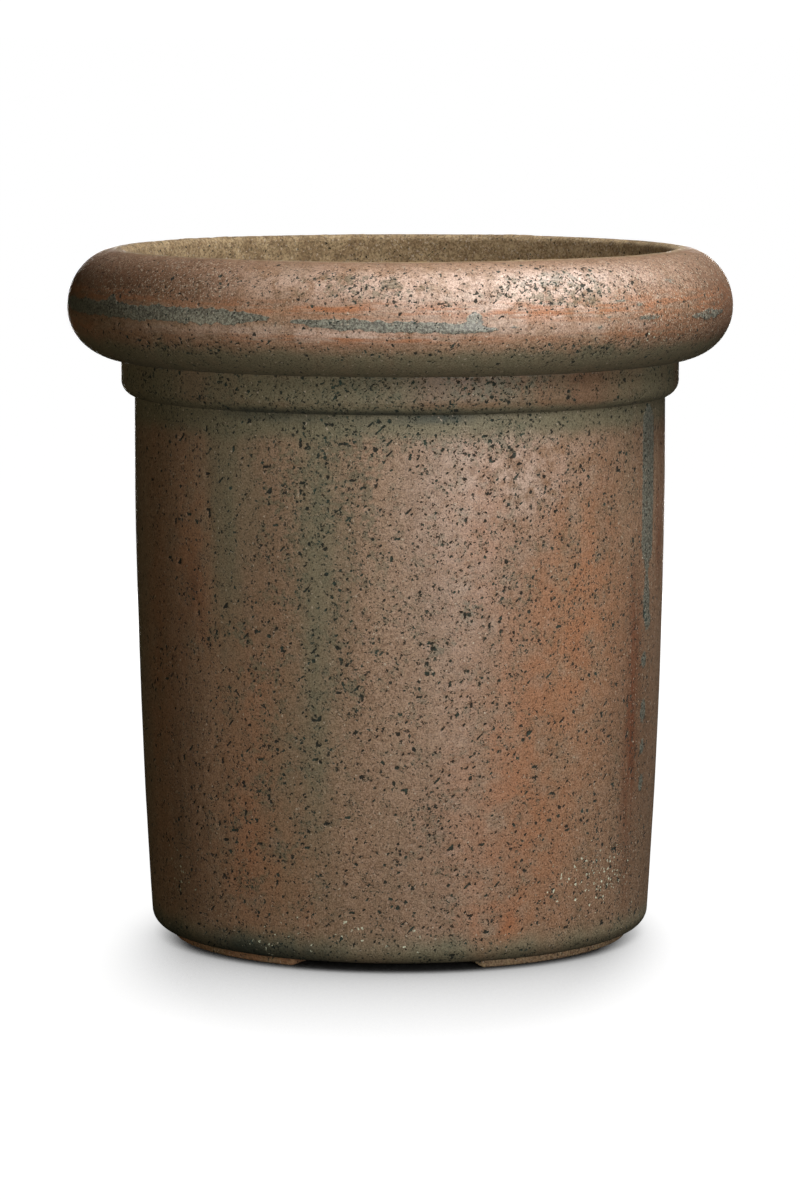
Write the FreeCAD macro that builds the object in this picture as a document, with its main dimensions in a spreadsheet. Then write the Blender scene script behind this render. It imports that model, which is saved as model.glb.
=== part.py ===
"""Rolled-rim terracotta planter, built as the potter lutes it together.

Millimetres.  +Z is up, the origin is on the ground under the middle of the pot,
and -Y is the front, where one of the three drainage gaps between the feet opens.
Every clay member is a body of its own, turned from a section in its XZ plane.
"""
import FreeCAD, Part
import os
import Sketcher
from FreeCAD import Placement, Rotation, Vector

# Driving dimensions: alias, value, meaning.  Lengths in mm, angles in degrees.
SIZES = [
    ("overall_height", 517.0, "ground to the top of the roll"),
    ("body_top_radius", 199.0, "outside of the wall under the collar"),
    ("body_foot_radius", 187.0, "outside of the wall at the ground end"),
    ("body_bow", 3.4, "how far the wall swells past straight at mid height"),
    ("wall_thickness", 22.0, "wall, measured level"),
    ("edge_round", 10.5, "rounding of the wall's outer bottom edge"),
    ("floor_thickness", 22.0, "floor slab"),
    ("drain_radius", 15.0, "hole in the middle of the floor"),
    ("coil_radius", 16.0, "hollow fillet of the coil in the inner corner"),
    ("collar_projection", 10.0, "collar past the wall"),
    ("collar_depth", 28.0, "collar, from the roll down to its crease"),
    ("collar_round", 13.5, "height of the rounding under the collar"),
    ("roll_radius", 41.0, "outside radius of the roll's section"),
    ("lip_width", 5.0, "lip between the mouth and the crown of the roll"),
    ("lip_depth", 20.0, "upright part of the mouth under the lip"),
    ("foot_height", 6.0, "feet under the floor"),
    ("foot_inset", 15.0, "feet, in from the outside of the wall"),
    ("foot_width", 45.0, "feet, measured outwards"),
    ("foot_gap", 46.5, "angle of each drainage gap"),
    ("foot_round", 1.5, "worn lower edges of the feet"),
]

# Places that several members share, as expressions of the driving dimensions.
SEAT = "(sizes.overall_height - 2 * sizes.roll_radius)"
CREASE = f"({SEAT} - sizes.collar_depth)"
WALL_INSIDE = "(sizes.body_top_radius - sizes.wall_thickness)"
FLOOR_EDGE = "(sizes.body_foot_radius - sizes.wall_thickness)"
FLOOR_TOP = "(sizes.foot_height + sizes.floor_thickness)"
COIL_TOP = f"({FLOOR_TOP} + sizes.coil_radius)"
COLLAR_EDGE = "(sizes.body_top_radius + sizes.collar_projection)"
ROLL_MIDDLE = "(sizes.overall_height - sizes.roll_radius)"
MOUTH = f"({COLLAR_EDGE} - sizes.lip_width)"
FOOT_OUTER = "(sizes.body_foot_radius - sizes.foot_inset)"
FOOT_INNER = f"({FOOT_OUTER} - sizes.foot_width)"
DIAGONAL = "cos(45 deg)"

# Feet, each by the angle of its middle round from the front.
FEET = {"foot_pad_right": 60, "foot_pad_rear": 180, "foot_pad_left": 300}


def size_sheet(doc):
    sheet = doc.addObject("Spreadsheet::Sheet", "sizes")
    for row, (alias, value, meaning) in enumerate(SIZES, start=1):
        sheet.set(f"A{row}", alias)
        sheet.set(f"B{row}", str(value))
        sheet.setAlias(f"B{row}", alias)
        sheet.set(f"C{row}", meaning)
    doc.recompute()
    return sheet


def fixed_point(sketch, number, across, up):
    """A construction point held at (across, up), both expressions."""
    point = sketch.addGeometry(Part.Point(Vector(1, 1, 0)), True)
    for kind, letter, expression in (("DistanceX", "r", across), ("DistanceY", "z", up)):
        held = sketch.addConstraint(Sketcher.Constraint(kind, -1, 1, point, 1, 1.0))
        sketch.renameConstraint(held, f"{letter}{number}")
        sketch.setExpression(f"Constraints.{letter}{number}", expression)
    return point


def join(sketch, points, start, through, end):
    """An edge between two fixed points: a line, or an arc if it passes through a third."""
    first, last = (sketch.getPoint(points[n], 1) for n in (start, end))
    if through is None:
        edge = sketch.addGeometry(Part.LineSegment(first, last), False)
    else:
        middle = sketch.getPoint(points[through], 1)
        if (middle - first).cross(last - middle).z < 0:
            start, end, first, last = end, start, last, first
        edge = sketch.addGeometry(Part.Arc(first, middle, last), False)
        sketch.addConstraint(Sketcher.Constraint("PointOnObject", points[through], 1, edge))
    sketch.addConstraint(Sketcher.Constraint("Coincident", edge, 1, points[start], 1))
    sketch.addConstraint(Sketcher.Constraint("Coincident", edge, 2, points[end], 1))


def turned(doc, label, outline, angle=None):
    """A body turned about the pot's axis from a closed outline.

    The outline is a list of (radius, height) corners.  A corner with a third
    item, "bow", is a point that the arc between its two neighbours passes through.
    With an angle the body is a sector, half of it each side of the XZ plane.
    """
    body = doc.addObject("PartDesign::Body", label)
    body.Label = label
    sketch = body.newObject("Sketcher::SketchObject", f"{label}_section")
    plane = next(o for o in body.Origin.OriginFeatures if o.Role == "XZ_Plane")
    sketch.AttachmentSupport = [(plane, "")]
    sketch.MapMode = "FlatFace"
    points = [fixed_point(sketch, n, *spot[:2]) for n, spot in enumerate(outline)]
    doc.recompute()
    corners = [n for n, spot in enumerate(outline) if len(spot) == 2]
    for start, end in zip(corners, corners[1:] + corners[:1]):
        between = (start + 1) % len(outline)
        join(sketch, points, start, between if between != end else None, end)
    doc.recompute()

    turning = body.newObject("PartDesign::Revolution", f"{label}_turning")
    turning.Profile = sketch
    turning.ReferenceAxis = (sketch, ["V_Axis"])
    if angle is None:
        turning.Angle = 360
    else:
        turning.Midplane = True
        turning.setExpression("Angle", angle)
    sketch.Visibility = False
    doc.recompute()
    return body


def ring_edges(shape, radius, height):
    """Names of the round edges of this radius at this height."""
    return [f"Edge{n}" for n, edge in enumerate(shape.Edges, start=1)
            if hasattr(edge.Curve, "Radius") and abs(edge.Curve.Radius - radius) < 0.01
            and abs(edge.Curve.Center.z - height) < 0.01]


def rounded(doc, body, edges, radius):
    """Round the named edges of a body's last feature."""
    last = body.Tip
    fillet = body.newObject("PartDesign::Fillet", f"{body.Label}_round")
    fillet.Base = (last, edges)
    fillet.setExpression("Radius", radius)
    doc.recompute()


def body_wall(doc, sheet):
    """Tapered, gently bowed wall, with a straight seat for the floor and its coil."""
    bow_height = f"({CREASE} + sizes.foot_height) / 2"
    inner_bow_height = f"({SEAT} + {COIL_TOP}) / 2"
    body = turned(doc, "body_wall", [
        (FLOOR_EDGE, "sizes.foot_height"),
        ("sizes.body_foot_radius", "sizes.foot_height"),
        ("(sizes.body_foot_radius + sizes.body_top_radius) / 2 + sizes.body_bow", bow_height, "bow"),
        ("sizes.body_top_radius", CREASE),
        ("sizes.body_top_radius", SEAT),
        (WALL_INSIDE, SEAT),
        (f"({FLOOR_EDGE} + {WALL_INSIDE}) / 2 + sizes.body_bow", inner_bow_height, "bow"),
        (FLOOR_EDGE, COIL_TOP),
    ])
    edges = ring_edges(body.Shape, sheet.body_foot_radius, sheet.foot_height)
    rounded(doc, body, edges, "sizes.edge_round")


def floor_slab(doc):
    """Flat slab inside the foot of the wall, pierced for drainage."""
    turned(doc, "floor_slab", [
        ("sizes.drain_radius", "sizes.foot_height"),
        (FLOOR_EDGE, "sizes.foot_height"),
        (FLOOR_EDGE, FLOOR_TOP),
        ("sizes.drain_radius", FLOOR_TOP),
    ])


def corner_coil(doc):
    """Coil smeared into the corner of floor and wall, left with a hollow face."""
    hollow = f"sizes.coil_radius * (1 - {DIAGONAL})"
    turned(doc, "corner_coil", [
        (f"{FLOOR_EDGE} - sizes.coil_radius", FLOOR_TOP),
        (FLOOR_EDGE, FLOOR_TOP),
        (FLOOR_EDGE, COIL_TOP),
        (f"{FLOOR_EDGE} - {hollow}", f"{FLOOR_TOP} + {hollow}", "bow"),
    ])


def collar_band(doc):
    """Band round the top of the wall, rounded in underneath to its crease."""
    turned(doc, "collar_band", [
        ("sizes.body_top_radius", CREASE),
        (f"{COLLAR_EDGE} - sizes.collar_projection * (1 - {DIAGONAL})",
         f"{CREASE} + sizes.collar_round * (1 - {DIAGONAL})", "bow"),
        (COLLAR_EDGE, f"{CREASE} + sizes.collar_round"),
        (COLLAR_EDGE, SEAT),
        ("sizes.body_top_radius", SEAT),
    ])


def neck_ring(doc):
    """Throat of the pot: sits on wall and collar, and flares in an ogee to the mouth."""
    throat_top = "(sizes.overall_height - sizes.lip_depth)"
    flare = f"({MOUTH} - {WALL_INSIDE})"
    rise = f"({throat_top} - {SEAT})"
    # the ogee is upright at both ends, so each half bulges this far from its end and its chord
    beside = f"{flare} / 8"
    off_chord = f"{flare} * {flare} / (8 * {rise})"
    turned(doc, "neck_ring", [
        (WALL_INSIDE, SEAT),
        (COLLAR_EDGE, SEAT),
        (COLLAR_EDGE, "sizes.overall_height"),
        (f"{COLLAR_EDGE} - sizes.lip_width * {DIAGONAL}",
         f"sizes.overall_height - sizes.lip_width * (1 - {DIAGONAL})", "bow"),
        (MOUTH, "sizes.overall_height - sizes.lip_width"),
        (MOUTH, throat_top),
        (f"{MOUTH} - {beside}", f"{throat_top} - {rise} / 4 - {off_chord}", "bow"),
        (f"{MOUTH} - {flare} / 2", f"{throat_top} - {rise} / 2"),
        (f"{WALL_INSIDE} + {beside}", f"{SEAT} + {rise} / 4 + {off_chord}", "bow"),
    ])


def rim_roll(doc):
    """Half-round roll luted on the outside of the neck ring."""
    turned(doc, "rim_roll", [
        (COLLAR_EDGE, SEAT),
        (f"{COLLAR_EDGE} + sizes.roll_radius", ROLL_MIDDLE, "bow"),
        (COLLAR_EDGE, "sizes.overall_height"),
    ])


def foot_pad(doc, sheet, label, azimuth):
    """One of the curved feet, its middle at this angle round from the front."""
    body = turned(doc, label, [
        (FOOT_INNER, "0"),
        (FOOT_OUTER, "0"),
        (FOOT_OUTER, "sizes.foot_height"),
        (FOOT_INNER, "sizes.foot_height"),
    ], angle=f"360 deg / {len(FEET)} - sizes.foot_gap * 1 deg")
    outer = sheet.body_foot_radius - sheet.foot_inset
    edges = ring_edges(body.Shape, outer, 0) + ring_edges(body.Shape, outer - sheet.foot_width, 0)
    rounded(doc, body, edges, "sizes.foot_round")
    body.Placement = Placement(Vector(), Rotation(Vector(0, 0, 1), azimuth - 90))


def check(doc):
    for item in doc.Objects:
        if {"Invalid", "Error"} & set(item.State):
            raise RuntimeError(f"{item.Label} did not build")
        if item.TypeId == "Sketcher::SketchObject" and not item.FullyConstrained:
            raise RuntimeError(f"{item.Label} is not fully constrained")
    for body in doc.findObjects("PartDesign::Body"):
        if body.Shape.isNull() or not body.Shape.isValid() or len(body.Shape.Solids) != 1:
            raise RuntimeError(f"{body.Label} is not one sound solid")


def main():
    doc = FreeCAD.newDocument("planter")
    sheet = size_sheet(doc)
    body_wall(doc, sheet)
    floor_slab(doc)
    corner_coil(doc)
    collar_band(doc)
    neck_ring(doc)
    rim_roll(doc)
    for label, azimuth in FEET.items():
        foot_pad(doc, sheet, label, azimuth)
    doc.recompute()
    check(doc)

    os.makedirs("parts", exist_ok=True)
    for body in doc.findObjects("PartDesign::Body"):
        body.Shape.exportStep(f"parts/{body.Label}.step")
        box = body.Shape.optimalBoundingBox()
        print(f"{body.Label}: {body.Shape.Volume / 1000:.0f} cm3, z {box.ZMin:.1f} to {box.ZMax:.1f}")


main()
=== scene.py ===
import bpy
import math
import random
import numpy as np
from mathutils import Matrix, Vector, noise


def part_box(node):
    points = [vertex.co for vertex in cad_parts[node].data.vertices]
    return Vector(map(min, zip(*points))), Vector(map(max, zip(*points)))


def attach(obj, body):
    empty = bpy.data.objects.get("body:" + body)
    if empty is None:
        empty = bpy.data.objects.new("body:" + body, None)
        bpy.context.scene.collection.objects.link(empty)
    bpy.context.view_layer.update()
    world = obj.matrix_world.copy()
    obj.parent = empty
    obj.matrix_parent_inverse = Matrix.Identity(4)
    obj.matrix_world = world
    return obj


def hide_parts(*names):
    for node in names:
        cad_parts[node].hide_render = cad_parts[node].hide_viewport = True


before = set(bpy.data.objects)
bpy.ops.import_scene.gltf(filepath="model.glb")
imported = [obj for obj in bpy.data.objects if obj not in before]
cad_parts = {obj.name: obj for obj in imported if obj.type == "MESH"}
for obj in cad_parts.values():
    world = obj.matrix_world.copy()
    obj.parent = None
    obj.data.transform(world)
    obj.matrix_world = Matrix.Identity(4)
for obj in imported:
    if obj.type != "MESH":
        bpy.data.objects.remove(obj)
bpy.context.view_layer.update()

# Heights and radii that the pieces share, read from the frame (metres)
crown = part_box("rim_roll")[1].z
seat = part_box("rim_roll")[0].z             # the roll and the neck sit here on wall and collar
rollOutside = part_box("rim_roll")[1].x
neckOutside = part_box("collar_band")[1].x   # also the collar's side
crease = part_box("collar_band")[0].z        # the collar's lower edge
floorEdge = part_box("floor_slab")[1].x
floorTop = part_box("floor_slab")[1].z
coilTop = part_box("corner_coil")[1].z
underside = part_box("body_wall")[0].z       # the pot's bottom, which the feet lift
quarter = math.sqrt(0.5)                   # sine of half a right angle
print("frame: crown", round(crown, 4), "crease", round(crease, 4), "roll out to", round(rollOutside, 4))


# How every skin is finished
finish = {
    "sharpAngle": 60,       # degrees; a sharper bend than this shows as an edge
    "hiddenStretch": 0.3,   # share of the bake map that a hidden face gets, against a seen one
    "pairedPit": 0.85,      # a pit drawn above this share spreads to the point beside it
}


# Outlines are strokes of (radius, height) points, run anticlockwise, so the clay is on their left
def line(start, end, step):
    count = max(1, round(math.dist(start, end) / step))
    return [tuple(s + (e - s) * i / count for s, e in zip(start, end)) for i in range(count + 1)]


def arc(start, through, end, step):
    # points in the plane are taken as complex numbers here
    a, b, c = (complex(*point) for point in (start, through, end))
    w = (c - a) / (b - a)
    middle = a + (b - a) * (w - abs(w) ** 2) / (2j * w.imag)
    turn = (c - middle) / (a - middle)
    sweep = math.atan2(turn.imag, turn.real)
    count = max(1, round(abs(sweep) * abs(a - middle) / step))
    turned = [middle + (a - middle) * complex(math.cos(t), math.sin(t))
              for t in (sweep * i / count for i in range(count + 1))]
    return [(point.real, point.imag) for point in turned]


def stroke(points, give=1.0, fade=(0.0, 0.0)):
    # give is how much of the relief it takes, fade the length over which each end eases in
    points = np.array(points)
    slope = np.gradient(points, axis=0)
    normals = np.stack([slope[:, 1], -slope[:, 0]], 1)
    normals /= np.linalg.norm(normals, axis=1)[:, None]
    run = np.concatenate([[0], np.cumsum(np.linalg.norm(np.diff(points, axis=0), axis=1))])
    gives = np.full(len(points), give)
    for length, reached in zip(fade, (run, run[-1] - run)):
        if length:
            gives = gives * np.clip(reached / length, 0, 1)
    return {"points": points, "normals": normals, "gives": gives, "run": run}


def outline(strokes):
    # joins strokes end to end into one closed loop
    rows = {"points": [], "normals": [], "gives": [], "stretch": []}
    for number, this in enumerate(strokes):
        before = strokes[number - 1]
        normals = this["normals"].copy()
        gives = this["gives"].copy()
        if before["gives"][-1] > 0 and gives[0] > 0:
            normals[0] = normals[0] + before["normals"][-1]
            normals[0] /= np.linalg.norm(normals[0])
        elif before["gives"][-1] > 0:
            normals[0] = before["normals"][-1]
            gives[0] = before["gives"][-1]
        hidden = gives.max() == 0
        rows["points"].append(this["points"][:-1])
        rows["normals"].append(normals[:-1])
        rows["gives"].append(gives[:-1])
        rows["stretch"].append(np.diff(this["run"]) * (finish["hiddenStretch"] if hidden else 1.0))
    return {name: np.concatenate(parts) for name, parts in rows.items()}


def roughness(points, layers):
    # sum of (height, size) layers of noise at each point
    flat = [Vector(p) for p in points.reshape(-1, 3)]
    total = np.zeros(len(flat))
    for height, size in layers:
        total += height * np.array([noise.noise(p / size) for p in flat])
    return total.reshape(points.shape[:-1])


def ripple(azimuth, size, seed):
    # a wavy line round the pot, between -1 and 1
    angle = np.radians(azimuth).ravel()
    return np.array([noise.noise(Vector((math.cos(t) / size, math.sin(t) / size, seed))) for t in angle])


def turnPiece(name, strokes, settings, paint):
    # turns an outline into a skin, with relief, pits and painted attributes
    columns = settings["columns"]
    rows = outline(strokes)
    radius = rows["points"][:, 0][:, None]
    height = rows["points"][:, 1][:, None]
    azimuth = (np.arange(columns) / columns * 360 - 180)[None, :]
    sine = np.sin(np.radians(azimuth))
    cosine = np.cos(np.radians(azimuth))
    ring = np.stack([radius * sine, -radius * cosine, height + 0 * sine], -1)
    painted = paint(azimuth, radius, height)
    lift = roughness(ring, settings["relief"]) + painted.pop("lift", 0)
    pepper = painted.get("pepper", np.zeros(lift.shape))
    gives = rows["gives"][:, None]
    pit = np.zeros(lift.shape)
    draw = random.Random(settings.get("seed", 1))
    for _ in range(settings.get("pits", 0)):
        row = draw.randrange(lift.shape[0])
        column = draw.randrange(columns)
        depth = draw.uniform(*settings["pitDepth"])
        beside = draw.choice(((0, 1), (1, 0), (0, -1), (1, 1)))
        if draw.random() < pepper[row, column] and gives[row, 0] > 0.5:
            second = ((row + beside[0]) % lift.shape[0], (column + beside[1]) % columns)
            share = draw.random()
            lift[row, column] -= depth
            pit[row, column] = 1
            if share > finish["pairedPit"]:
                lift[second] -= depth * share
                pit[second] = max(pit[second], share)
    lift = lift * gives
    out = rows["normals"][:, 0][:, None] * lift + radius
    up = rows["normals"][:, 1][:, None] * lift + height
    ring = np.stack([out * sine, -out * cosine, up], -1)
    painted["pit"] = pit * gives
    return skin(name, ring, rows["stretch"], painted)


def skin(name, ring, stretch, painted):
    # a closed mesh from rows and columns of points, both running right round
    count, columns = ring.shape[:2]
    row, column = np.meshgrid(np.arange(count), np.arange(columns), indexing="ij")
    nextRow = (row + 1) % count
    nextColumn = (column + 1) % columns
    corners = np.stack([row * columns + column, row * columns + nextColumn,
                        nextRow * columns + nextColumn, nextRow * columns + column], -1)
    mesh = bpy.data.meshes.new(name)
    mesh.from_pydata(ring.reshape(-1, 3).tolist(), [], corners.reshape(-1, 4).tolist())
    for label, values in painted.items():
        layer = mesh.attributes.new(label, "FLOAT", "POINT")
        layer.data.foreach_set("value", np.broadcast_to(values, (count, columns)).ravel().astype(np.float32))
    run = np.concatenate([[0], np.cumsum(stretch)]) / stretch.sum()
    across = np.stack([column, column + 1, column + 1, column], -1) / columns
    along = np.stack([run[row], run[row], run[row + 1], run[row + 1]], -1)
    bakeMap = mesh.uv_layers.new(name="OFBake")
    bakeMap.data.foreach_set("uv", np.stack([across, along], -1).ravel().astype(np.float32))
    return finishPiece(name, mesh)


def finishPiece(name, mesh):
    mesh.polygons.foreach_set("use_smooth", [True] * len(mesh.polygons))
    mesh.set_sharp_from_angle(angle=math.radians(finish["sharpAngle"]))
    piece = bpy.data.objects.new(name, mesh)
    bpy.context.scene.collection.objects.link(piece)
    print("made", name, len(mesh.vertices), "points")
    return piece


def place(piece, node, material):
    piece.data.materials.append(material)
    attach(piece, "root")
    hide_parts(node)


# Brushes: azimuth is in degrees from the front, positive to the right
def spot(azimuth, level, at, size):
    across = (azimuth - at[0] + 180) % 360 - 180
    return np.exp(-(across / size[0]) ** 2 - ((level - at[1]) / size[1]) ** 2)


def ease(value, low, high):
    share = np.clip((value - low) / (high - low), 0, 1)
    return share * share * (3 - 2 * share)


def window(value, low, high, soft):
    return ease(value, low - soft / 2, low + soft / 2) * (1 - ease(value, high - soft / 2, high + soft / 2))


def spots(azimuth, level, places):
    # places are (azimuth, level, width, height, strength)
    return sum(strength * spot(azimuth, level, (a, l), (w, h)) for a, l, w, h, strength in places)


def regions(azimuth, level, places):
    # places are from, to and softness in azimuth, the same in level, and strength
    return sum(strength * window(azimuth, left, right, side) * window(level, low, high, end)
               for left, right, side, low, high, end, strength in places)


# Shader expressions
class Shade:
    # a socket that sums can be done on, and the one way to add a node
    def __init__(self, tree, socket=None):
        self.tree = tree
        self.socket = socket

    def node(self, kind, settings=None, inputs=None, output=0):
        made = self.tree.nodes.new(kind)
        for name, value in (settings or {}).items():
            setattr(made, name, value)
        for name, value in (inputs or {}).items():
            if isinstance(value, Shade):
                self.tree.links.new(value.socket, made.inputs[name])
            else:
                made.inputs[name].default_value = value
        return Shade(self.tree, made.outputs[output])

    def other(self, output):
        return Shade(self.tree, self.socket.node.outputs[output])

    def sum(self, operation, first, second):
        return self.node("ShaderNodeMath", {"operation": operation}, {0: first, 1: second})

    def __add__(self, more):
        return self.sum("ADD", self, more)

    __radd__ = __add__

    def __sub__(self, less):
        return self.sum("SUBTRACT", self, less)

    def __rsub__(self, whole):
        return self.sum("SUBTRACT", whole, self)

    def __mul__(self, times):
        return self.sum("MULTIPLY", self, times)

    __rmul__ = __mul__

    def __gt__(self, level):
        return self.sum("GREATER_THAN", self, level)

    def most(self, other):
        return self.sum("MAXIMUM", self, other)

    def between(self, low, high):
        # 0 at low, 1 at high
        return self.node("ShaderNodeMapRange", {"interpolation_type": "SMOOTHSTEP"},
                         {"Value": self, "From Min": low, "From Max": high})

    def lay(self, lower, upper, how="MIX"):
        # this mask lays the upper colour over the lower one
        return self.node("ShaderNodeMix", {"data_type": "RGBA", "blend_type": how},
                         {0: self, 6: lower, 7: upper}, output=2)

    def vector(self, operation, other):
        return self.node("ShaderNodeVectorMath", {"operation": operation}, {0: self, 1: other})

    def grain(self, size, detail=2.0, rough=0.5):
        # noise of this size in metres, read at this position
        return self.node("ShaderNodeTexNoise", None,
                         {"Vector": self, "Scale": 1 / size, "Detail": detail, "Roughness": rough})

    def flecks(self, cell, radius, density):
        # at most one round fleck in each cell; density is the share of cells that hold one
        cells = self.node("ShaderNodeTexVoronoi", None, {"Vector": self, "Scale": 1 / cell})
        chance = self.node("ShaderNodeSeparateColor", None, {0: cells.other("Color")})
        reach = radius / cell * (0.45 + 0.9 * chance.other("Green"))
        inside = cells.other("Distance").between(reach, reach * 0.72)
        return inside * (density > chance.other("Red"))


def rgb(red, green, blue):
    return (red, green, blue, 1.0)


clayColours = {
    "pink": rgb(0.385, 0.255, 0.165),
    "brown": rgb(0.26, 0.16, 0.098),
    "pale": rgb(0.45, 0.31, 0.23),
    "orange": rgb(0.43, 0.185, 0.088),
    "umber": rgb(0.155, 0.078, 0.042),
    "rust": rgb(0.2, 0.07, 0.035),
    "ash": rgb(0.2, 0.185, 0.115),
    "teal": rgb(0.055, 0.068, 0.052),
    "moss": rgb(0.02, 0.046, 0.037),
    "glaze": rgb(0.27, 0.29, 0.24),
    "glazeDark": rgb(0.045, 0.057, 0.052),
    "sand": rgb(0.56, 0.47, 0.36),
    "paleClayAndHighlight": rgb(0.68, 0.51, 0.42),
    "lime": rgb(0.8, 0.85, 0.66),
    "soot": rgb(0.006, 0.01, 0.008),
    "tan": rgb(0.48, 0.36, 0.205),
    "tanDark": rgb(0.3, 0.21, 0.11),
    "hollow": rgb(0.35, 0.33, 0.3),   # what the grain multiplies the rest by
}

clayLooks = {
    "firedClay": {"body": "pink", "throat": 0.0, "sheen": 0.37, "grainSize": 0.0011, "grainDepth": 0.35},
    "innerClay": {"body": "tan", "throat": 1.0, "sheen": 0.8, "grainSize": 0.0019, "grainDepth": 1.0},
    "footClay": {"body": "tan", "throat": 0.0, "sheen": 0.72, "grainSize": 0.0014, "grainDepth": 0.6},
}

# Sizes of the clay's grain and stains, in metres
claySizes = {
    "ragged": 0.0017, "wobble": 0.003, "cloud": 0.03, "blotch": 0.012, "paleGrain": 0.0022,
    "brownGrain": 0.003, "umberGrain": 0.0019, "wiping": 0.0032, "warmCloud": 0.02, "rustRun": 0.009,
    "ashRun": 0.018, "tealRun": 0.007, "fringeRound": 0.0016, "fringe": 0.003, "mottle": 0.0017,
    "sandGrain": 0.0021, "clump": 0.014, "pitEdge": 0.0013, "halo": 0.004, "pitFloor": 0.006,
    "bumpDepth": 0.0004,
}

# Flecks: the size of the cell that can hold one, and its radius
clayFlecks = {
    "grit": (0.0021, 0.0007), "large": (0.0052, 0.0014), "middle": (0.0031, 0.0009),
    "small": (0.0019, 0.0006), "chalk": (0.0025, 0.0009),
}

# What the brushes can paint on a piece, each from 0 to 1
brushNames = ("pepper", "ash", "glaze", "rust", "warm", "sand", "lime", "pit", "throat", "pale", "brushed",
              "teal", "umber")


def positions(shade):
    # the place on the pot, plain and as each kind of mark reads it
    plain = shade.node("ShaderNodeTexCoord", output="Object")
    wobble = plain.grain(claySizes["ragged"], 1.0).other("Color")
    wobble = wobble.vector("MULTIPLY", (claySizes["wobble"],) * 3)
    return {
        "plain": plain,
        "streaky": plain.vector("MULTIPLY", (1.0, 1.0, 0.14)),   # stretched upright, as runs are
        "brushed": plain.vector("MULTIPLY", (0.1, 0.1, 1.0)),    # stretched round, as wiping leaves it
        "ragged": plain.vector("ADD", wobble),
    }


def bareClay(at, blotch, body):
    # cloudy pink and brown, with a fine grain
    tone = clayColours
    size = claySizes
    plain = at["plain"]
    cloud = at["streaky"].grain(size["cloud"], 3.0, 0.6)
    colour = (0.45 + 0.55 * cloud.between(0.3, 0.65)).lay(tone["brown"], tone[body])
    colour = (blotch.between(0.5, 0.75) * 0.3).lay(colour, tone["pale"])
    colour = (blotch.between(0.5, 0.3) * 0.25).lay(colour, tone["brown"])
    colour = (plain.grain(size["paleGrain"], 2.0, 0.7).between(0.52, 0.66) * 0.55).lay(colour, tone["pale"])
    colour = (plain.grain(size["brownGrain"], 2.0, 0.7).between(0.52, 0.36) * 0.8).lay(colour, tone["brown"])
    return (plain.grain(size["umberGrain"], 2.0, 0.7).between(0.56, 0.68) * 0.6).lay(colour, tone["umber"])


def stain(colour, at, painted, blotch, wiped):
    # burnt, orange and rusty clay; pale pink laid as painted highlight, partly lighter clay, and the umber in
    # places painted shade
    tone = clayColours
    size = claySizes
    # umber: real brown clay, and in places painted shade: the collar's front under the roll, the roll's left,
    # the throat's rear right
    colour = (painted["umber"] * 0.85).lay(colour, tone["umber"])
    # painted highlight: pale pink where the lights fall brightest, partly lighter clay
    colour = (painted["pale"] * blotch.between(0.3, 0.6)).lay(colour, tone["paleClayAndHighlight"])
    cloudy = at["plain"].grain(size["warmCloud"], 3.0).between(0.25, 0.6)
    patchy = painted["brushed"] * wiped.between(0.35, 0.62) + (1 - painted["brushed"]) * cloudy
    colour = (painted["warm"] * patchy).lay(colour, tone["orange"])
    rusty = at["streaky"].grain(size["rustRun"], 3.0).between(0.3, 0.6)
    return (painted["rust"] * rusty).lay(colour, tone["rust"])


def ashVeil(at, painted):
    # grey-green ash, in upright streaks
    streaks = at["streaky"].grain(claySizes["ashRun"], 3.0, 0.6)
    return (painted["ash"] + 0.55 * streaks - 0.3).between(0.0, 0.75)


def tealStainAndShade(at, painted):
    # a dark teal stain, in finer upright streaks; by the crease it is also painted shade
    streaks = at["streaky"].grain(claySizes["tealRun"], 3.0)
    return (painted["teal"] + 0.5 * streaks - 0.25).between(0.1, 0.9)


def glazeCoat(at, painted):
    # glaze that ran and pooled, with frayed edges
    fringe = at["brushed"].grain(claySizes["fringeRound"], 2.0, 0.6)
    fringe = fringe + at["plain"].grain(claySizes["fringe"], 2.0, 0.6)
    return (painted["glaze"] + 0.45 * fringe - 0.45).between(0.42, 0.58)


def pitMask(at, painted, density):
    # the deep pits of the mesh, and flecks at three sizes
    edge = at["plain"].grain(claySizes["pitEdge"], 1.0)
    pits = (painted["pit"] + 0.6 * edge - 0.3).between(0.56, 0.68)
    pits = pits.most(at["ragged"].flecks(*clayFlecks["large"], density * 0.75))
    pits = pits.most(at["ragged"].flecks(*clayFlecks["middle"], density * 1.15) * 0.92)
    return pits.most(at["ragged"].flecks(*clayFlecks["small"], density * 0.9 + 0.12) * 0.8)


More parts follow.
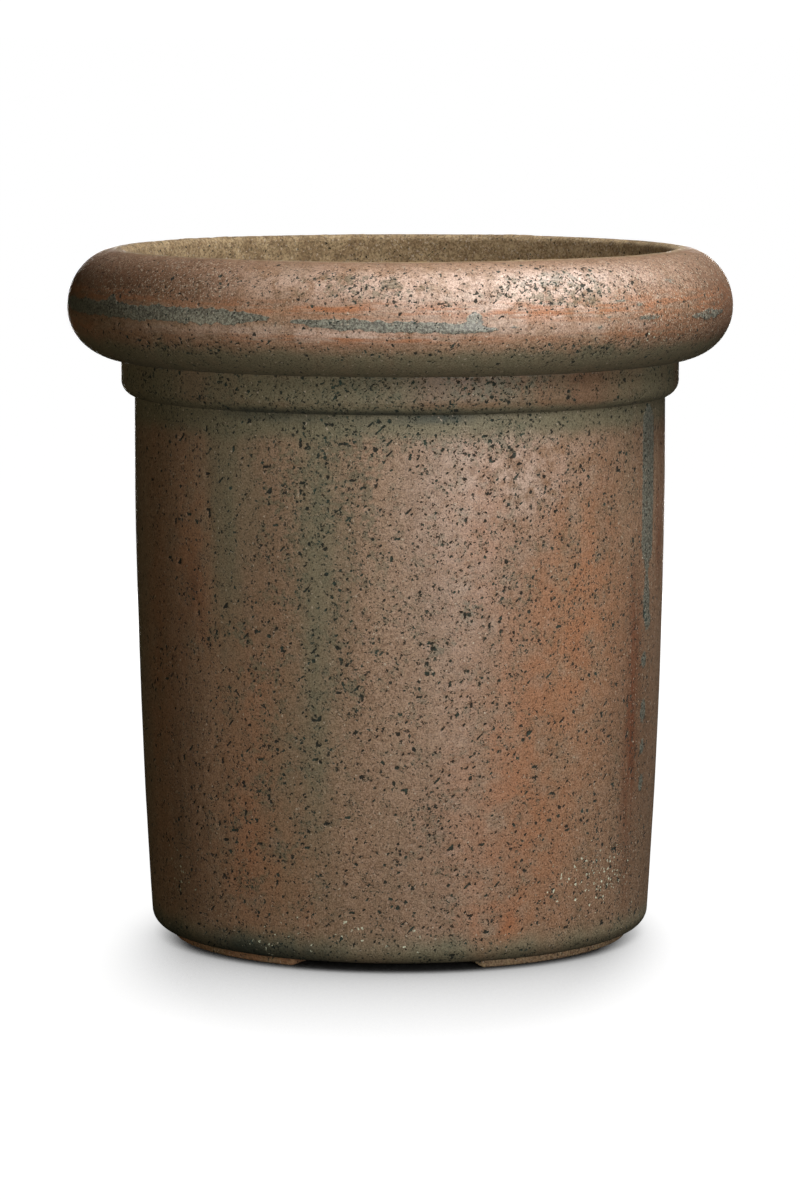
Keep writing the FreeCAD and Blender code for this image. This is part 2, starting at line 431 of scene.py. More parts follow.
def clay(name):
    look = clayLooks[name]
    tone = clayColours
    size = claySizes
    material = bpy.data.materials.new(name)
    material.use_nodes = True
    tree = material.node_tree
    shade = Shade(tree)
    at = positions(shade)
    plain = at["plain"]
    painted = {label: shade.node("ShaderNodeAttribute", {"attribute_name": label}, output="Fac")
               for label in brushNames}
    fine = plain.grain(look["grainSize"], 2.0, 0.6)
    blotch = plain.grain(size["blotch"], 3.0, 0.65)
    wiped = at["brushed"].grain(size["wiping"], 2.0, 0.6)
    veil = ashVeil(at, painted)

    colour = stain(bareClay(at, blotch, look["body"]), at, painted, blotch, wiped)
    colour = (veil * 0.92).lay(colour, tone["ash"])
    # dark teal: a real stain, and by the crease on wall and collar also painted shade
    colour = tealStainAndShade(at, painted).lay(colour, tone["teal"])

    # sandy inside
    throat = (painted["throat"] + look["throat"]).between(0.2, 0.8)
    colour = throat.lay(colour, blotch.between(0.3, 0.65).lay(tone["tanDark"], tone["tan"]))

    # glaze, mottled dark
    glazed = glazeCoat(at, painted)
    mottle = plain.grain(size["mottle"], 2.0, 0.7).between(0.43, 0.57)
    colour = (glazed * 0.88).lay(colour, (mottle * 0.85).lay(tone["glaze"], tone["glazeDark"]))

    # sand, in dark hollows and pale grains
    sandHollows = plain.grain(size["sandGrain"], 2.0, 0.7).between(0.5, 0.38)
    colour = (painted["sand"] * sandHollows * 0.85).lay(colour, tone["umber"])
    grit = at["ragged"].flecks(*clayFlecks["grit"], painted["sand"] * 1.1)
    colour = (grit * 0.7).lay(colour, tone["sand"])

    # pits with dark teal floors, in grey-green clumps
    clump = plain.grain(size["clump"], 2.0, 0.6).between(0.4, 0.62)
    density = painted["pepper"] * (0.65 + 1.9 * clump)
    halo = (density * plain.grain(size["halo"], 2.0).between(0.35, 0.6)).between(0.35, 1.3)
    colour = (halo * 0.5).lay(colour, tone["ash"])
    colour = (halo * 0.15).lay(colour, tone["moss"])
    pits = pitMask(at, painted, density)
    pitFloor = plain.grain(size["pitFloor"], 1.0).between(0.42, 0.68).lay(tone["soot"], tone["moss"])
    colour = (pits * 0.93).lay(colour, pitFloor)

    # lime flecks
    chalk = at["ragged"].flecks(*clayFlecks["chalk"], painted["lime"])
    colour = (chalk * 0.85).lay(colour, tone["lime"])

    # grain darkens the hollows of the surface
    colour = (fine.between(0.6, 0.36) * 0.65).lay(colour, tone["hollow"], "MULTIPLY")

    rough = look["sheen"] + 0.12 * fine - 0.1 * glazed + 0.5 * pits + 0.15 * painted["sand"] + 0.25 * veil
    height = (look["grainDepth"] * fine + 0.35 * grit - 1.3 * pits + 0.4 * blotch + 0.25 * glazed
              + 0.35 * wiped)
    bump = shade.node("ShaderNodeBump", None,
                      {"Height": height, "Distance": size["bumpDepth"], "Strength": 0.8})
    principled = tree.nodes["Principled BSDF"]
    tree.links.new(colour.socket, principled.inputs["Base Color"])
    tree.links.new(rough.socket, principled.inputs["Roughness"])
    tree.links.new(bump.socket, principled.inputs["Normal"])
    return material


firedClay = clay("firedClay")
innerClay = clay("innerClay")
footClay = clay("footClay")
print("clay mixed")


# Wall
wall = {
    "footRadius": 0.187, "topRadius": 0.199, "bow": 0.0034, "thickness": 0.022, "edgeRound": 0.0105,
    "columns": 468, "rowStep": 0.0026, "innerStep": 0.0095, "seed": 11,
    # layers of unevenness: height and size
    "relief": ((0.0004, 0.13), (0.00013, 0.03), (0.00004, 0.009)),
    "pits": 7000, "pitDepth": (0.0005, 0.001),
    # azimuth, height, width, height of the spot, strength
    "pepper": ((-13, 0.354, 9, 0.035, 0.8), (0, 0.392, 8, 0.012, 0.5), (26, 0.387, 5, 0.010, 0.5),
               (-34, 0.243, 6, 0.010, 0.5), (-28, 0.216, 4, 0.008, 0.4), (-7, 0.21, 5, 0.008, 0.4),
               (17, 0.264, 4, 0.008, 0.6), (13, 0.236, 3, 0.007, 0.4), (20, 0.168, 4, 0.008, 0.4),
               (-12, 0.26, 16, 0.15, 0.22), (35, 0.3, 16, 0.08, 0.12), (-30, 0.1, 14, 0.05, 0.2),
               (125, 0.33, 12, 0.05, 0.7), (168, 0.2, 9, 0.04, 0.5), (-130, 0.36, 14, 0.03, 0.6),
               (-155, 0.12, 10, 0.04, 0.4)),
    "ash": ((-36, 0.35, 7, 0.11, 0.5), (-14, 0.3, 6, 0.13, 0.5), (-84, 0.25, 14, 0.3, 0.5),
            (-20, 0.12, 10, 0.09, 0.25), (150, 0.3, 8, 0.15, 0.5), (-150, 0.33, 7, 0.12, 0.5),
            (110, 0.25, 6, 0.1, 0.3)),
    "rust": ((-45.5, 0.272, 2.6, 0.026, 0.7), (64.5, 0.18, 3.4, 0.12, 0.95), (79.5, 0.32, 3.5, 0.05, 0.8),
             (-52, 0.12, 5, 0.1, 0.35), (104, 0.15, 5, 0.09, 0.7), (-165, 0.2, 4, 0.08, 0.7)),
    "warm": ((30, 0.12, 16, 0.13, 0.7), (25, 0.03, 6, 0.02, 0.8), (45, 0.27, 14, 0.1, 0.6),
             (-30, 0.17, 12, 0.09, 0.5), (20, 0.33, 8, 0.05, 0.4), (-45, 0.3, 8, 0.08, 0.6),
             (-30, 0.07, 14, 0.05, 0.5), (-62, 0.2, 8, 0.16, 0.4),
             (135, 0.14, 20, 0.12, 0.5), (-120, 0.2, 18, 0.12, 0.5)),
    # pale pink spots: painted highlight where the lights fall, partly lighter clay
    "pale": ((32, 0.365, 15, 0.035, 0.6), (20, 0.33, 16, 0.08, 0.25), (150, 0.3, 20, 0.08, 0.4)),
    "umber": ((68, 0.17, 12, 0.13, 0.6), (-27, 0.33, 9, 0.12, 0.35), (-28, 0.17, 10, 0.12, 0.3),
              (-85, 0.3, 12, 0.3, 0.3), (-170, 0.2, 14, 0.2, 0.35)),
    "lime": ((-30, 0.015, 3, 0.004, 1), (-12, 0.028, 14, 0.01, 0.16), (54, 0.061, 10, 0.016, 0.7),
             (-56, 0.063, 4, 0.014, 0.4), (140, 0.05, 8, 0.01, 0.6), (-120, 0.02, 5, 0.006, 0.8)),
    "drips": ((70.5, 0.262, 2.6, 0.012, 0.95), (71.5, 0.244, 2.4, 0.008, 0.9), (69.8, 0.216, 1.8, 0.008, 1),
              (70.3, 0.177, 1.9, 0.011, 1), (70.6, 0.15, 1.6, 0.007, 0.9), (71, 0.123, 1.8, 0.008, 0.9),
              (-132, 0.38, 3, 0.03, 0.8), (-131, 0.31, 1.6, 0.02, 0.8), (118, 0.39, 2.5, 0.02, 0.8),
              (117.5, 0.34, 1.2, 0.016, 0.7)),
    # upright runs of glaze: from, to and softness in azimuth, the same in height, strength
    "runs": ((66.8, 73.8, 2.5, 0.29, 0.403, 0.03, 0.85), (69.0, 71.6, 1.0, 0.27, 0.404, 0.02, 0.45)),
    "creaseShadeAndStain": (0.012, 0.003),   # how far under the crease the teal begins and is full; partly a real teal stain, partly painted shade under the collar
    "creaseShadeAndAsh": (0.026, 0.006),    # the same for the ash, which there is also partly painted shade
    "baseVeil": (0.006, 0.03),       # how far over the underside the base's marks start to thin, and end
    "glazeLift": 0.0002,
}


def paintWall(azimuth, radius, height):
    across = np.broadcast_to(azimuth, (len(height), azimuth.shape[1]))
    # the hollow is always inside this radius; so is the underside, lower down
    hollow = np.where(height > underside + wall["edgeRound"], 0.004, wall["edgeRound"] + 0.001)
    inside = np.broadcast_to(radius < wall["footRadius"] - hollow, across.shape)
    wander = ripple(azimuth, 0.22, 3.0)[None, :]
    # fewer specks towards each side of the front half
    flank = 1 - 0.55 * ease(np.abs(across - 5), 55, 75) * (np.abs(across) < 100)
    pepper = (0.3 + spots(azimuth, height, wall["pepper"])) * flank + 0.12 * wander
    thin, clear = wall["baseVeil"]
    base = 1 - ease(height, underside + thin, underside + clear)
    # painted shade, partly a real stain: ash and dark teal laid in a band under the crease, the teal
    # strongest in the front middle, where the collar and roll shade the wall
    begins, full = wall["creaseShadeAndAsh"]
    ash = spots(azimuth, height, wall["ash"]) + 0.12
    ash = ash + 0.6 * ease(height, crease - begins, crease - full)
    ash = ash + (0.55 + 0.35 * wander) * base
    begins, full = wall["creaseShadeAndStain"]
    middle = 0.4 + 0.6 * window(across, -34, 20, 24)
    teal = ease(height, crease - begins + 0.004 * wander, crease - full) * (0.55 + 0.4 * wander) * middle
    teal = teal + 0.85 * base * window(across, -80, -4, 30) * (0.8 + 0.6 * wander)
    spotted = ("rust", "warm", "lime", "pale", "umber")
    painted = {label: spots(azimuth, height, wall[label]) for label in spotted}
    painted["pepper"] = pepper
    painted["ash"] = ash
    painted["teal"] = teal
    painted["glaze"] = regions(across, height, wall["runs"]) + spots(azimuth, height, wall["drips"])
    painted["sand"] = 0.07 + 0.3 * ease(np.abs(across), 50, 80)
    painted = {label: np.clip(values, 0, 1) * ~inside for label, values in painted.items()}
    painted["throat"] = inside * 1.0
    painted["lift"] = wall["glazeLift"] * painted["glaze"]
    return painted


def makeWall():
    foot = (wall["footRadius"], underside)
    top = (wall["topRadius"], crease)
    innerTop = wall["topRadius"] - wall["thickness"]
    middle = ((foot[0] + top[0]) / 2 + wall["bow"], (foot[1] + top[1]) / 2)
    innerMiddle = ((floorEdge + innerTop) / 2 + wall["bow"], (coilTop + seat) / 2)
    above = underside + wall["edgeRound"]
    outside = [point for point in arc(foot, middle, top, wall["rowStep"]) if point[1] > above]
    start = outside[0]
    rounding = start[1] - underside
    corner = (start[0] - rounding * (1 - quarter), underside + rounding * (1 - quarter))
    strokes = [
        stroke(line((floorEdge, underside), (start[0] - rounding, underside), 0.004), 0.6),
        stroke(arc((start[0] - rounding, underside), corner, start, 0.002)),
        stroke(outside, fade=(0, 0.006)),
        stroke(line(top, (top[0], seat), 0.014), 0),
        stroke(line((top[0], seat), (innerTop, seat), 0.011), 0),
        stroke(arc((innerTop, seat), innerMiddle, (floorEdge, coilTop), wall["innerStep"]), 1.5,
               (0.01, 0.01)),
        stroke(line((floorEdge, coilTop), (floorEdge, underside), 0.019), 0),
    ]
    return turnPiece("wallSkin", strokes, wall, paintWall)


# Collar
collar = {
    "round": 0.0135, "columns": 900, "rowStep": 0.0013, "seed": 23,
    "relief": ((0.00035, 0.12), (0.00014, 0.025), (0.00005, 0.007)),
    "pits": 3000, "pitDepth": (0.0005, 0.001),
    "pepper": ((20, 0.424, 8, 0.01, 0.6), (-4, 0.429, 8, 0.009, 1.1), (-32, 0.42, 5, 0.01, 0.2),
               (120, 0.42, 12, 0.01, 0.6), (-150, 0.42, 16, 0.01, 0.6)),
    "ash": ((-60, 0.42, 22, 0.03, 0.45), (70, 0.42, 14, 0.03, 0.45), (-18, 0.425, 9, 0.01, 0.3),
            (170, 0.42, 30, 0.02, 0.5), (-8, 0.425, 20, 0.02, 0.35)),
    # a darker umber band round the collar's front: partly real brown clay, partly painted shade under the
    # roll
    "umber": ((4, 0.431, 34, 0.014, 0.8),),
}


def paintCollar(azimuth, radius, height):
    wander = ripple(azimuth, 0.16, 7.0)[None, :]
    # painted shade, partly a real stain: more ash and dark teal on the collar's lower edge in the crease, the
    # teal strongest in the front middle
    creaseShadeAndBuildup = 1 - ease(height, crease + 0.001, crease + 0.008)
    painted = {
        "pepper": 0.34 + spots(azimuth, height, collar["pepper"]) + 0.15 * wander,
        "ash": 0.3 + spots(azimuth, height, collar["ash"]) + 0.45 * creaseShadeAndBuildup + 0.2 * wander,
        "umber": 0.5 + 0.2 * wander + spots(azimuth, height, collar["umber"]),
        "teal": creaseShadeAndBuildup * (0.25 + 0.35 * window(azimuth, -34, 20, 24) + 0.3 * wander),
        "warm": 0.2 + 0.3 * wander + 0 * height,
        "rust": 0.15 - 0.3 * wander + 0 * height,
        "sand": 0.05 + 0 * azimuth + 0 * height,
        "glaze": 0.42 * ease(height, seat - 0.003, seat - 0.001) + 0 * azimuth,
    }
    return {label: np.clip(values, 0, 1) for label, values in painted.items()}


def makeCollar():
    inner = wall["topRadius"]
    top = crease + collar["round"]
    shoulder = (neckOutside - (neckOutside - inner) * (1 - quarter), crease + collar["round"] * (1 - quarter))
    strokes = [
        stroke(arc((inner, crease), shoulder, (neckOutside, top), collar["rowStep"]), fade=(0.004, 0)),
        stroke(line((neckOutside, top), (neckOutside, seat), collar["rowStep"]), fade=(0, 0.003)),
        stroke(line((neckOutside, seat), (inner, seat), 0.005), 0),
        stroke(line((inner, seat), (inner, crease), 0.009), 0),
    ]
    return turnPiece("collarSkin", strokes, collar, paintCollar)


# Roll
roll = {
    "reach": 0.0401,        # how far it stands out of the neck
    "widestDrop": 0.0023,   # its widest line sits this far below the middle of its height
    "columns": 900, "rowStep": 0.0013, "seed": 31,
    "relief": ((0.0005, 0.13), (0.00022, 0.04), (0.00007, 0.011), (0.00004, 0.004)),
    "pits": 12000, "pitDepth": (0.0004, 0.0009), "glazeLift": 0.00028,
    # runs of the glaze band: from, to (azimuth), level at each end (degrees up the section), half width
    "bandRuns": ((-80, -18.5, 8, 6.5, 7.6), (-15, 19.5, 3.4, -4.2, 5.6), (61, 75.5, 0.5, -0.5, 5.8),
                 (96, 141, 2.0, 5.0, 6.0), (150, 172, 1.0, -2.0, 4.5), (-168, -112, 3.0, 8.0, 6.5)),
    # azimuth, section level, width, height, strength
    "glaze": ((-54, 16, 1.6, 8, 1.1), (15.5, 6, 1.5, 9, 1.1), (22, -2, 2, 2.5, 0.6), (38, -5, 1.6, 2.5, 0.65),
              (40, 5, 1.6, 2.5, 0.6), (49, 2.5, 4, 4, 0.75), (43, 21, 3, 2, 0.7), (47, 16, 1.4, 3.5, 0.7),
              (57, 38, 3, 8, 0.55), (-64, 6, 3, 9, 0.3), (110, 12, 2, 8, 0.8), (-140, 14, 2, 8, 0.8)),
    "pepper": ((31, 37, 11, 17, 1.5), (-3, 42, 12, 18, 0.7), (-30, 40, 10, 18, 0.25), (-37, -27, 11, 9, 0.6),
               (36, -28, 18, 11, 0.6), (0, -30, 14, 8, 0.25), (12, 22, 8, 8, 0.25), (130, 40, 14, 18, 0.8),
               (-150, 30, 14, 20, 0.7), (175, -20, 16, 10, 0.5)),
    "warm": ((-6, 17, 26, 7, 0.9), (-4, -14, 28, 5, 0.8), (-60, 24, 20, 7, 0.7), (55, 14, 22, 12, 0.75),
             (25, 12, 16, 8, 0.6), (-70, -14, 14, 7, 0.5), (50, -12, 14, 7, 0.5), (130, 15, 40, 12, 0.6),
             (-140, -8, 40, 10, 0.6)),
    # pale pink spots: painted highlight on the lit front and crown, partly lighter clay
    "pale": ((28, 40, 24, 22, 1.0), (-6, 44, 20, 24, 0.6), (-5, -8, 22, 8, 0.9), (26, 12, 16, 14, 0.7),
             (40, -6, 12, 6, 0.4), (-40, -8, 14, 5, 0.3), (130, 45, 30, 22, 0.5), (-150, 45, 30, 20, 0.4)),
    # darker umber spots: real brown clay; those on the left also stand in as painted shade on the side turned
    # from the light
    "umber": ((-50, 42, 22, 28, 0.85), (-88, 20, 20, 50, 0.8), (76, 18, 16, 40, 0.9), (60, -4, 16, 10, 0.3),
              (-40, -10, 12, 6, 0.3), (170, 30, 24, 30, 0.5)),
    "rust": ((-78, 45, 14, 20, 0.5), (80, 0, 8, 30, 0.35), (-28, 24, 20, 4, 0.3), (150, 50, 30, 14, 0.4)),
    "lime": ((54, -20, 7, 5, 0.35), (-72, -8, 1.5, 2, 0.5)),
    # from, to and softness in azimuth, the same in section level, strength
    "sand": ((-84, -27, 10, 22, 76, 16, 1.0), (43, 88, 12, -28, 76, 16, 0.8),
             (100, 170, 30, 0, 76, 20, 0.8), (-170, -100, 30, 0, 76, 20, 0.8)),
}


def sectionAngle(radius, height):
    # degrees round the roll's section: 0 at its widest line, 90 at the crown
    middle = (crown + seat) / 2 - roll["widestDrop"]
    return np.degrees(np.arctan2(height - middle, np.maximum(radius - neckOutside, 0.0)))


def paintRoll(azimuth, radius, height):
    level = sectionAngle(radius, height)
    across = np.broadcast_to(azimuth, (len(height), azimuth.shape[1]))
    wander = ripple(azimuth, 0.045, 5.0)[None, :]
    fray = ripple(azimuth, 0.016, 9.0)[None, :]
    band = np.zeros(across.shape)
    for start, end, first, last, half in roll["bandRuns"]:
        middle = first + (last - first) * (across - start) / (end - start) + 2.2 * wander
        edge = half * (1 + 0.35 * fray) * (0.3 + 0.7 * window(across, start + 4, end - 4, 9))
        run = 1 - ease(np.abs(level - middle), edge - 2.2, edge + 2.2)
        band = np.maximum(band, run * window(across, start, end, 3))
    painted = {
        "pepper": 0.07 + spots(azimuth, level, roll["pepper"]) * 0.9,
        "ash": 0.62 * (1 - ease(level, -40, -17)) + 0.15 * wander + 0.06,
        "glaze": band + spots(azimuth, level, roll["glaze"]),
        "warm": spots(azimuth, level, roll["warm"]) + 0.1,
        "rust": spots(azimuth, level, roll["rust"]) * (0.7 + 0.6 * wander),
        "sand": regions(across, level, roll["sand"]) + 0.1,
        "lime": spots(azimuth, level, roll["lime"]),
        "pale": spots(azimuth, level, roll["pale"]),
        "umber": spots(azimuth, level, roll["umber"]),
    }
    painted = {label: np.clip(values, 0, 1) for label, values in painted.items()}
    painted["brushed"] = 1 - ease(level, 30, 50) + 0 * azimuth
    painted["throat"] = 0.55 * ease(level, 74, 88) + 0 * azimuth
    painted["lift"] = roll["glazeLift"] * ease(painted["glaze"], 0.3, 0.6)
    return painted


def makeRoll():
    middle = (crown + seat) / 2 - roll["widestDrop"]
    count = round(math.pi * roll["reach"] / roll["rowStep"])
    turns = [math.pi * (i / count - 0.5) for i in range(count + 1)]
    section = [(neckOutside + roll["reach"] * math.cos(t),
                middle + math.sin(t) * (crown - middle if t > 0 else middle - seat)) for t in turns]
    strokes = [
        stroke(section, fade=(0.006, 0)),
        stroke(line((neckOutside, crown), (neckOutside, seat), 0.02), 0),
    ]
    return turnPiece("rollSkin", strokes, roll, paintRoll)


# Neck: the throat and the lip
neck = {
    "lipWidth": 0.005, "lipDepth": 0.02, "columns": 900,
    "relief": ((0.0005, 0.12), (0.0004, 0.022), (0.0003, 0.008), (0.0002, 0.0045)),
}


def paintNeck(azimuth, radius, height):
    edge = ease(height, crown - 0.004, crown)
    wander = ripple(azimuth, 0.1, 13.0)[None, :]
    return {
        "throat": 1 - 0.45 * edge + 0 * azimuth,
        # painted shade: darker umber inside the throat at its rear right, where the rim shades it
        "umber": spot(azimuth, height, (128, crown - 0.03), (24, 0.06)) * 0.6,
        "sand": np.clip(0.55 + 0.3 * wander + 0 * height, 0, 1),
        "pepper": np.clip(0.06 + 0.12 * wander + 0 * height, 0, 1),
        "ash": 0 * azimuth + 0 * height,
    }


def makeNeck():
    mouth = neckOutside - neck["lipWidth"]
    throat = wall["topRadius"] - wall["thickness"]
    lipMiddle = (neckOutside - neck["lipWidth"] * quarter, crown - neck["lipWidth"] * (1 - quarter))
    throatTop = crown - neck["lipDepth"]
    flare = mouth - throat
    rise = throatTop - seat
    bulge = flare * flare / (8 * rise)   # of each half of the ogee
    half = (mouth - flare / 2, throatTop - rise / 2)
    upper = (mouth - flare / 8, throatTop - rise / 4 - bulge)
    lower = (throat + flare / 8, seat + rise / 4 + bulge)
    ogee = arc((mouth, throatTop), upper, half, 0.002)[:-1] + arc(half, lower, (throat, seat), 0.002)
    strokes = [
        stroke(arc((neckOutside, crown), lipMiddle, (mouth, crown - neck["lipWidth"]), 0.0012)),
        stroke(line((mouth, crown - neck["lipWidth"]), (mouth, throatTop), 0.0014)),
        stroke(ogee, fade=(0, 0.01)),
        stroke(line((throat, seat), (neckOutside, seat), 0.008), 0),
        stroke(line((neckOutside, seat), (neckOutside, crown), 0.01), 0),
    ]
    return turnPiece("neckSkin", strokes, neck, paintNeck)


# Floor and the coil in its corner
floorPad = {
    "drainRadius": 0.015, "drainRound": 0.002, "columns": 220,
    "relief": ((0.0007, 0.08), (0.0004, 0.02), (0.0002, 0.007)),
}


def paintInside(azimuth, radius, height):
    wander = ripple(azimuth, 0.1, 17.0)[None, :]
    return {
        "sand": np.clip(0.6 + 0.4 * wander + 0 * height, 0, 1),
        "pepper": 0.15 + 0 * azimuth + 0 * height,
    }


def makeFloor():
    drain = floorPad["drainRadius"]
    edge = floorPad["drainRound"]
    inset = edge * (1 - quarter)
    strokes = [
        stroke(arc((drain, underside + edge), (drain + inset, underside + inset),
                   (drain + edge, underside), 0.001), 0.3),
        stroke(line((drain + edge, underside), (floorEdge, underside), 0.004), 0.5, (0, 0.02)),
        stroke(line((floorEdge, underside), (floorEdge, floorTop), 0.011), 0),
        stroke(line((floorEdge, floorTop), (drain + edge, floorTop), 0.0035), 1, (0.02, 0)),
        stroke(arc((drain + edge, floorTop), (drain + inset, floorTop - inset),
                   (drain, floorTop - edge), 0.001), 0.3),
        stroke(line((drain, floorTop - edge), (drain, underside + edge), 0.003), 0.3),
    ]
    return turnPiece("floorSkin", strokes, floorPad, paintInside)


def makeCoil():
    radius = coilTop - floorTop
    hollow = radius * (1 - quarter)
    strokes = [
        stroke(line((floorEdge - radius, floorTop), (floorEdge, floorTop), 0.005), 0),
        stroke(line((floorEdge, floorTop), (floorEdge, coilTop), 0.005), 0),
        stroke(arc((floorEdge, coilTop), (floorEdge - hollow, floorTop + hollow),
                   (floorEdge - radius, floorTop), 0.002), 1, (0.003, 0.003)),
    ]
    return turnPiece("coilSkin", strokes, floorPad, paintInside)


# Feet: three curved pads with worn edges
feet = {
    "inset": 0.015, "width": 0.045, "gap": 46.5, "wear": 0.0016, "columns": 80, "step": 0.0016,
    "relief": ((0.0004, 0.03), (0.0002, 0.008)), "unevenEdge": 0.004,
    "painted": {"ash": 0.15, "pepper": 0.15, "sand": 0.3},
    # name, azimuth of the middle, how orange the bare clay is
    "pads": {"foot_pad_right": ("rightFoot", 60, 0.15), "foot_pad_rear": ("rearFoot", 180, 0.3),
             "foot_pad_left": ("leftFoot", 300, 0.6)},
}


def footSection(inner, outer):
    # the pad cut across, with its two lower edges worn round
    wear = feet["wear"]
    inset = wear * (1 - quarter)
    section = line((inner + wear, 0), (outer - wear, 0), feet["step"])[:-1]
    section += arc((outer - wear, 0), (outer - inset, inset), (outer, wear), wear / 4)[:-1]
    section += line((outer, wear), (outer, underside), feet["step"])[:-1]
    section += line((outer, underside), (inner, underside), feet["step"] * 4)[:-1]
    section += line((inner, underside), (inner, wear), feet["step"])[:-1]
    section += arc((inner, wear), (inner + inset, inset), (inner + wear, 0), wear / 4)[:-1]
    return np.array(section)


def makeFoot(name, middle, warmth):
    outer = wall["footRadius"] - feet["inset"]
    inner = outer - feet["width"]
    wear = feet["wear"]
    section = footSection(inner, outer)
    span = math.radians(360 / len(feet["pads"]) - feet["gap"])
    angles = np.linspace(-span / 2, span / 2, feet["columns"]) + math.radians(middle)
    fromEnd = np.minimum(angles - angles[0], angles[-1] - angles) * outer
    # each end is drawn in over the last few millimetres, so its corners are worn round
    drawIn = wear * (1 - np.sqrt(1 - (1 - np.clip(fromEnd / (2 * wear), 0, 1)) ** 2))
    points = []
    for angle, less in zip(angles, drawIn):
        radii = np.clip(section[:, 0], inner + less, outer - less)
        heights = np.clip(section[:, 1], less, None)
        points.append(np.stack([radii * math.sin(angle), -radii * math.cos(angle), heights], -1))
    points = np.array(points)
    # the two curved sides are uneven, the middle of the pad is not
    fromSide = np.minimum(section[:, 0] - inner, outer - section[:, 0])
    outwards = np.clip((section[:, 0] - (inner + outer) / 2) / 1e-6, -1, 1)
    lift = roughness(points, feet["relief"]) * np.exp(-fromSide / feet["unevenEdge"]) * outwards
    points[..., 0] += lift * np.sin(angles)[:, None]
    points[..., 1] -= lift * np.cos(angles)[:, None]
    count = len(section)
    last = len(angles) - 1
    faces = []
    for i in range(last):
        for j in range(count):
            k = (j + 1) % count
            faces.append((i * count + j, (i + 1) * count + j, (i + 1) * count + k, i * count + k))
    faces.append(tuple(range(count)))
    faces.append(tuple(reversed(range(last * count, (last + 1) * count))))
    mesh = bpy.data.meshes.new(name)
    mesh.from_pydata(points.reshape(-1, 3).tolist(), [], faces)
    for label, value in {**feet["painted"], "warm": warmth}.items():
        layer = mesh.attributes.new(label, "FLOAT", "POINT")
        layer.data.foreach_set("value", np.full(len(mesh.vertices), value, np.float32))
    return finishPiece(name, mesh)


place(makeWall(), "body_wall", firedClay)
place(makeCollar(), "collar_band", firedClay)
place(makeRoll(), "rim_roll", firedClay)
place(makeNeck(), "neck_ring", innerClay)
place(makeFloor(), "floor_slab", innerClay)
place(makeCoil(), "corner_coil", innerClay)
for node, pad in feet["pads"].items():
    place(makeFoot(*pad), node, footClay)


# Studio: pale ground, soft lights and the camera
studio = {
    # the ground glows, and less where the pot stands over it
    "groundSize": 160.0, "groundColour": 0.06, "backdrop": 1.1,
    # the shadow fades from one share of its reach to the other
    "shadowAhead": 0.1, "shadowReach": (0.2, 0.42), "shadowDepth": 1.2, "shadowFade": (1.15, 0.7),
    "shadowDistance": 0.3, "shadowSamples": 8,
    "aim": 0.26,   # height that every light points at
    # name: azimuth, distance from the axis, height, width, tallness, power in watts, colour
    "lights": {
        "keyLight": (22, 0.9, 1.0, 0.35, 0.5, 6.2, (1.0, 0.98, 0.96)),
        "lowLight": (28, 2.0, 0.35, 0.5, 0.5, 14.0, (1.0, 0.97, 0.93)),
        "frontLight": (0, 2.2, 0.3, 0.6, 0.5, 3.2, (1.0, 0.96, 0.9)),
        "topLight": (60, 0.8, 2.0, 0.8, 0.8, 9.0, (1.0, 0.99, 0.98)),
        "sheenLight": (96, 1.04, 2.07, 0.4, 0.4, 24.0, (1.0, 0.98, 0.97)),
        "leftLight": (-62, 2.2, 0.3, 0.8, 0.5, 4.3, (1.0, 0.87, 0.6)),
        "backLight": (184, 2.2, 0.35, 1.2, 0.6, 46.0, (1.0, 0.97, 0.93)),
    },
    "camera": {"azimuth": 3.3, "distance": 3.825, "height": 0.7057, "tiltDown": 6.78, "lens": 153.1,
               "sensor": 36, "farthest": 200},
}


def around(azimuth, distance, height):
    angle = math.radians(azimuth)
    return Vector((distance * math.sin(angle), -distance * math.cos(angle), height))


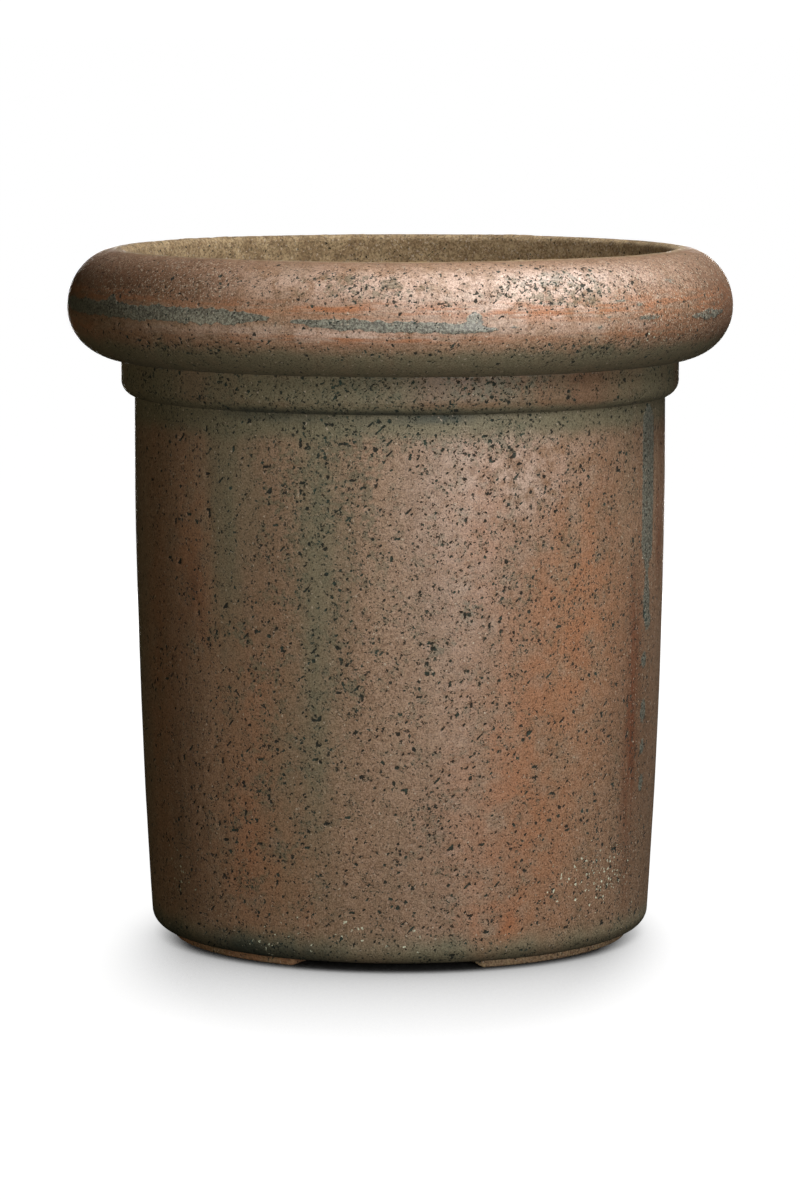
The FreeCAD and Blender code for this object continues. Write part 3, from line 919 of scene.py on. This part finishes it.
def makeGround():
    half = studio["groundSize"] / 2
    mesh = bpy.data.meshes.new("ground")
    corners = [(-half, -half, 0), (half, -half, 0), (half, half, 0), (-half, half, 0)]
    mesh.from_pydata(corners, [], [(0, 1, 2, 3)])
    ground = bpy.data.objects.new("ground", mesh)
    bpy.context.scene.collection.objects.link(ground)
    material = bpy.data.materials.new("groundPaper")
    material.use_nodes = True
    principled = material.node_tree.nodes["Principled BSDF"]
    white = studio["groundColour"]
    principled.inputs["Base Color"].default_value = rgb(white, white, white)
    principled.inputs["Roughness"].default_value = 1.0
    principled.inputs["Specular IOR Level"].default_value = 0.0
    shade = Shade(material.node_tree)
    offset = shade.node("ShaderNodeTexCoord", output="Object").vector("ADD", (0, studio["shadowAhead"], 0))
    offset = offset.vector("DIVIDE", (*studio["shadowReach"], 1.0))
    away = shade.node("ShaderNodeVectorMath", {"operation": "LENGTH"}, {0: offset}, output="Value")
    unshaded = shade.node("ShaderNodeAmbientOcclusion", {"samples": studio["shadowSamples"]},
                          {"Distance": studio["shadowDistance"]}, output="AO")
    shadow = (1 - unshaded) * away.between(*studio["shadowFade"]) * studio["shadowDepth"]
    glow = shadow.lay(rgb(1, 1, 1), rgb(0, 0, 0))
    material.node_tree.links.new(glow.socket, principled.inputs["Emission Color"])
    principled.inputs["Emission Strength"].default_value = 1.0
    mesh.materials.append(material)
    ground.visible_diffuse = False   # the ground throws no light back up at the pot
    ground.visible_glossy = False


def makeLights():
    for name, (azimuth, distance, height, width, tall, power, colour) in studio["lights"].items():
        light = bpy.data.lights.new(name, "AREA")
        light.shape = "RECTANGLE"
        light.size = width
        light.size_y = tall
        light.energy = power
        light.color = colour
        lamp = bpy.data.objects.new(name, light)
        lamp.location = around(azimuth, distance, height)
        aim = Vector((0, 0, studio["aim"])) - lamp.location
        lamp.rotation_euler = aim.to_track_quat("-Z", "Y").to_euler()
        lamp.visible_camera = False
        bpy.context.scene.collection.objects.link(lamp)


def makeBackdrop():
    world = bpy.data.worlds.new("backdrop")
    bpy.context.scene.world = world
    world.use_nodes = True
    world.node_tree.nodes["Background"].inputs["Color"].default_value = rgb(1, 1, 1)
    world.node_tree.nodes["Background"].inputs["Strength"].default_value = studio["backdrop"]
    world.cycles_visibility.diffuse = False
    world.cycles_visibility.glossy = False


def makeCamera():
    seen = studio["camera"]
    lens = bpy.data.cameras.new("camera")
    lens.lens = seen["lens"]
    lens.sensor_width = seen["sensor"]
    lens.clip_end = seen["farthest"]
    camera = bpy.data.objects.new("camera", lens)
    camera.location = around(seen["azimuth"], seen["distance"], seen["height"])
    camera.rotation_euler = (math.radians(90 - seen["tiltDown"]), 0, math.radians(seen["azimuth"]))
    bpy.context.scene.collection.objects.link(camera)
    bpy.context.scene.camera = camera


makeGround()
makeLights()
makeBackdrop()
makeCamera()
bpy.context.scene.view_settings.view_transform = "Standard"
print("studio lit")
